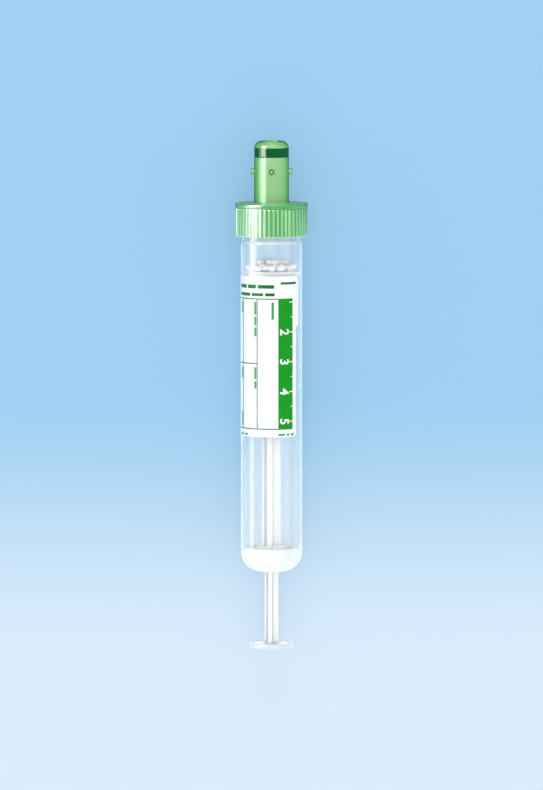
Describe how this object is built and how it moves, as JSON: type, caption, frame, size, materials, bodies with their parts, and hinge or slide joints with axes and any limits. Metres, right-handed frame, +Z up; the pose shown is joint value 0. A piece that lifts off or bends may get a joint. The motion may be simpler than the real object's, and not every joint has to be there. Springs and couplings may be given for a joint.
{
  "type": "syringe-type blood collection tube",
  "caption": "Clear round-based tube with a green screw cap and needle nozzle, a pull-out plunger rod with thumb disc, loose beads and a wrapped label.",
  "frame": {"origin": "under the middle of the tube as it lies on its side, on the surface it lies on", "axes": "+X along the tube towards the screw cap, +Z up out of the middle of the label; the tube's own axis climbs 1.06 degrees towards the cap, because the cap is wider than the barrel"},
  "size_m": [0.1268, 0.018, 0.0182],
  "materials": {
    "barrel_clear": "clear, polished, injection moulded",
    "insert_white": "milky white, satin",
    "label_paper": "white, semi-gloss, printed in green",
    "cap_green": "translucent green, satin",
    "ring_green": "dark green, gloss",
    "septum_rubber": "soft grey-green rubber",
    "piston_white": "white, satin",
    "seal_white": "milky white, soft",
    "rod_white": "white, satin, slightly translucent",
    "bead_white": "white coated granules, matt"
  },
  "bodies": {
    "tube": {"barrel": "barrel_clear", "guide_insert": "insert_white", "label": "label_paper"},
    "plunger": {"piston_body": "piston_white", "piston_seal": "seal_white", "plunger_rod": "rod_white", "bead_01": "bead_white", "bead_02": "bead_white", "bead_03": "bead_white", "bead_04": "bead_white", "bead_05": "bead_white", "bead_06": "bead_white", "bead_07": "bead_white", "bead_08": "bead_white", "bead_09": "bead_white", "bead_10": "bead_white", "bead_11": "bead_white", "bead_12": "bead_white", "bead_13": "bead_white", "bead_14": "bead_white", "bead_15": "bead_white", "bead_16": "bead_white", "bead_17": "bead_white", "bead_18": "bead_white", "bead_19": "bead_white", "bead_20": "bead_white", "bead_21": "bead_white", "bead_22": "bead_white", "bead_23": "bead_white", "bead_24": "bead_white", "bead_25": "bead_white", "bead_26": "bead_white", "bead_27": "bead_white", "bead_28": "bead_white", "bead_29": "bead_white", "bead_30": "bead_white", "bead_31": "bead_white", "bead_32": "bead_white", "bead_33": "bead_white", "bead_34": "bead_white", "bead_35": "bead_white", "bead_36": "bead_white", "bead_37": "bead_white", "bead_38": "bead_white", "bead_39": "bead_white", "bead_40": "bead_white", "bead_41": "bead_white", "bead_42": "bead_white", "bead_43": "bead_white", "bead_44": "bead_white", "bead_45": "bead_white", "bead_46": "bead_white", "bead_47": "bead_white", "bead_48": "bead_white", "bead_49": "bead_white", "bead_50": "bead_white"},
    "septum_plug": {"septum": "septum_rubber"},
    "cap": {"screw_cap": "cap_green", "neck_ring": "ring_green"}
  },
  "joints": [
    {"name": "plunger_slide", "type": "slide", "parent": "tube", "child": "plunger", "axis": [-0.9998, 0, -0.0184], "range_m": [-0.0075, 0.0564]},
    {"name": "cap_lift", "type": "slide", "parent": "tube", "child": "septum_plug", "axis": [0.9998, 0, 0.0184], "range_m": [0, 0.0045]},
    {"name": "cap_turn", "type": "hinge", "parent": "septum_plug", "child": "cap", "pos_m": [0.04796, 0, 0.00917], "axis": [0.9998, 0, 0.0184], "range_deg": [0, 540]}
  ],
  "couplings": [
    {"joint": "cap_turn", "follows": "cap_lift", "rad_per_m": 2094.4}
  ]
}
